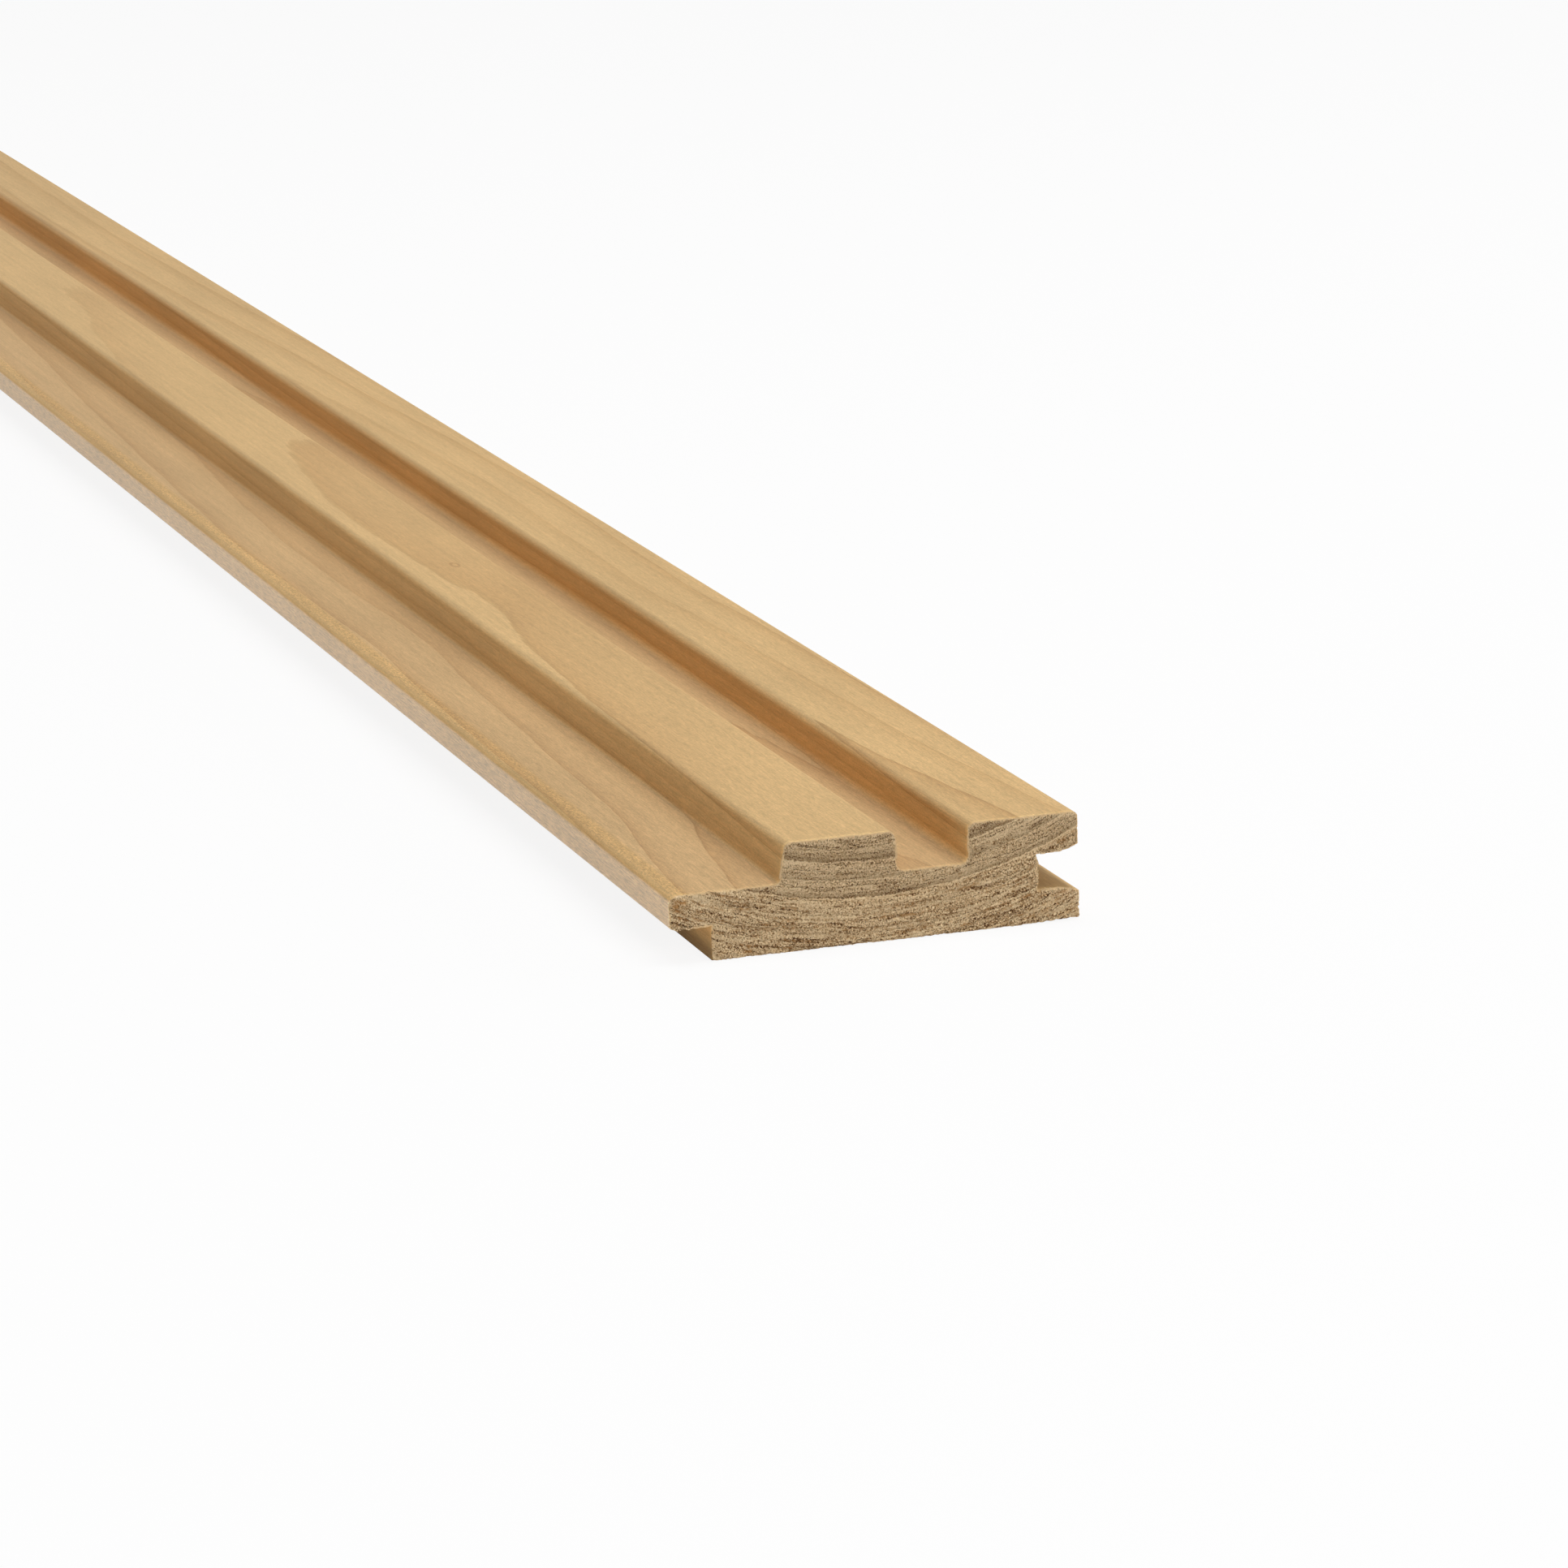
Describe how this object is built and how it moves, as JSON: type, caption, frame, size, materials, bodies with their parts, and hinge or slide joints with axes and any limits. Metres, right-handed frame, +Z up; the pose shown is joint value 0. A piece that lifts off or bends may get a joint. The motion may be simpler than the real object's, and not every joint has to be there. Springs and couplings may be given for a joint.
{
  "type": "tongue and groove board",
  "caption": "Planed hardwood cladding board with a tongue on one edge, a groove on the other and a channel along its ribbed face.",
  "frame": {"origin": "middle of the board's length and overall width, on the plane of its back", "axes": "+X across the board towards its grooved edge, +Y along the board, +Z up through its moulded face"},
  "size_m": [0.1, 1.8, 0.026],
  "materials": {
    "wood": "planed and unfinished, with sawn ends"
  },
  "bodies": {
    "root": {"tongue_groove_board": "wood"}
  },
  "joints": []
}
